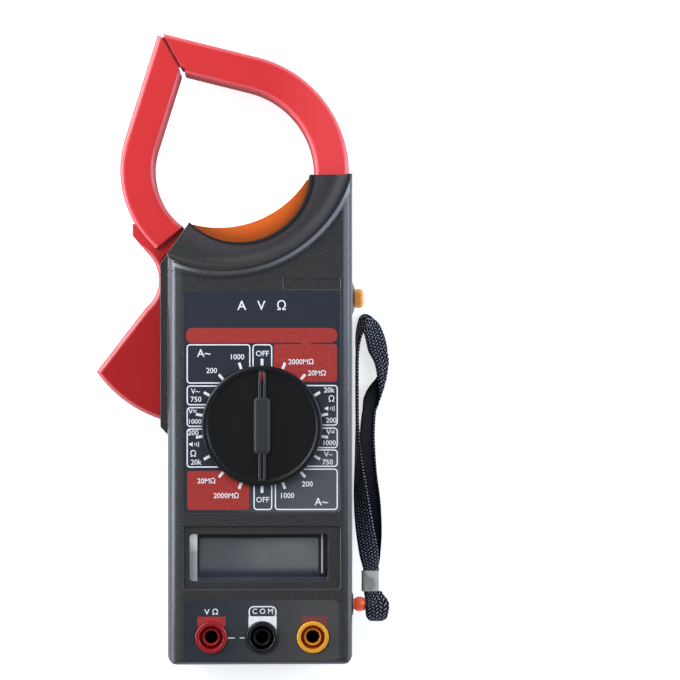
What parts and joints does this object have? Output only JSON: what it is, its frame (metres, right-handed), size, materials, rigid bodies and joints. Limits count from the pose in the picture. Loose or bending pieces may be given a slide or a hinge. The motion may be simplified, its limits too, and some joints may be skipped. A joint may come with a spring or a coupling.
{
  "type": "clamp meter",
  "caption": "Clamp meter with red spring-closed jaws, a trigger, a rotary range dial, a display, shrouded jacks and a woven wrist strap.",
  "frame": {"origin": "on the back face, under the dial's axis", "axes": "+X to the meter's right seen from the front, +Y towards the jaws, +Z out of the front face"},
  "size_m": [0.1091, 0.2308, 0.037],
  "materials": {
    "case_plastic": "finely textured",
    "jaw_plastic": "smooth satin",
    "guard_plastic": "satin",
    "dial_plastic": "satin",
    "marker_paint": "satin",
    "label_film": "printed satin film",
    "jack_film": "printed satin film",
    "lens": "clear",
    "lcd_glass": "grey green behind clear glass",
    "steel": "zinc plated",
    "lamination": "stacked sheet",
    "winding": "enamelled copper wire",
    "bobbin_plastic": "moulded",
    "board": "solder mask",
    "contact_metal": "bright",
    "red_plastic": "glossy",
    "black_plastic": "glossy",
    "yellow_plastic": "glossy",
    "button_plastic": "glossy",
    "peg_plastic": "glossy",
    "webbing": "woven with pale flecks",
    "crimp_metal": "pressed",
    "battery_wrap": "plain wrap",
    "zebra_rubber": "moulded",
    "lead_cover": "insulated wire"
  },
  "bodies": {
    "case": {"front_shell": "case_plastic", "rear_shell": "case_plastic", "case_screws": "steel", "jaw_guard": "guard_plastic", "fixed_jaw_front": "jaw_plastic", "fixed_jaw_rear": "jaw_plastic", "fixed_core": "lamination", "coil_bobbin": "bobbin_plastic", "coil_winding": "winding", "coil_leads": "winding", "jaw_pivot_pin": "steel", "jaw_spring": "steel", "main_pcb": "board", "pcb_screws": "steel", "lcd_window": "lens", "lcd_frame": "dial_plastic", "lcd_panel": "lcd_glass", "zebra_strip": "zebra_rubber", "face_label": "label_film", "jack_label": "jack_film", "red_jack": "red_plastic", "black_jack": "black_plastic", "yellow_jack": "yellow_plastic", "jack_contacts": "contact_metal", "hold_switch": "steel", "hold_collar": "black_plastic", "strap_peg": "peg_plastic", "peg_collar": "black_plastic", "wrist_strap": "webbing", "strap_crimp": "crimp_metal", "battery": "battery_wrap", "battery_snap": "zebra_rubber", "battery_leads": "lead_cover", "piezo_buzzer": "black_plastic"},
    "jaw": {"moving_jaw_front": "jaw_plastic", "moving_jaw_rear": "jaw_plastic", "moving_core": "lamination"},
    "dial": {"dial_knob": "dial_plastic", "dial_marker": "marker_paint", "contact_rotor": "bobbin_plastic", "wiper_contacts": "contact_metal", "detent_balls": "steel", "detent_springs": "steel", "dial_clip": "steel"},
    "hold": {"hold_button": "button_plastic", "hold_plunger": "black_plastic"},
    "door": {"battery_door": "case_plastic", "battery_door_screws": "steel"}
  },
  "joints": [
    {"name": "jaw_hinge", "type": "hinge", "parent": "case", "child": "jaw", "pos_m": [-0.031, 0.058, 0.017], "axis": [0, 0, 1], "range_deg": [0, 30], "stiffness_Nm_per_rad": 0.8, "springref_deg": -20.05, "deforming": ["jaw_spring"]},
    {"name": "dial_turn", "type": "hinge", "parent": "case", "child": "dial", "pos_m": [0, 0, 0.0337], "axis": [0, 0, 1], "continuous": true},
    {"name": "hold_press", "type": "slide", "parent": "case", "child": "hold", "axis": [-1, 0, 0], "range_m": [0, 0.0012], "stiffness_N_per_m": 1500, "springref_m": -0.001},
    {"name": "door_lift", "type": "slide", "parent": "case", "child": "door", "axis": [0, 0, -1], "range_m": [0, 0.03]}
  ]
}
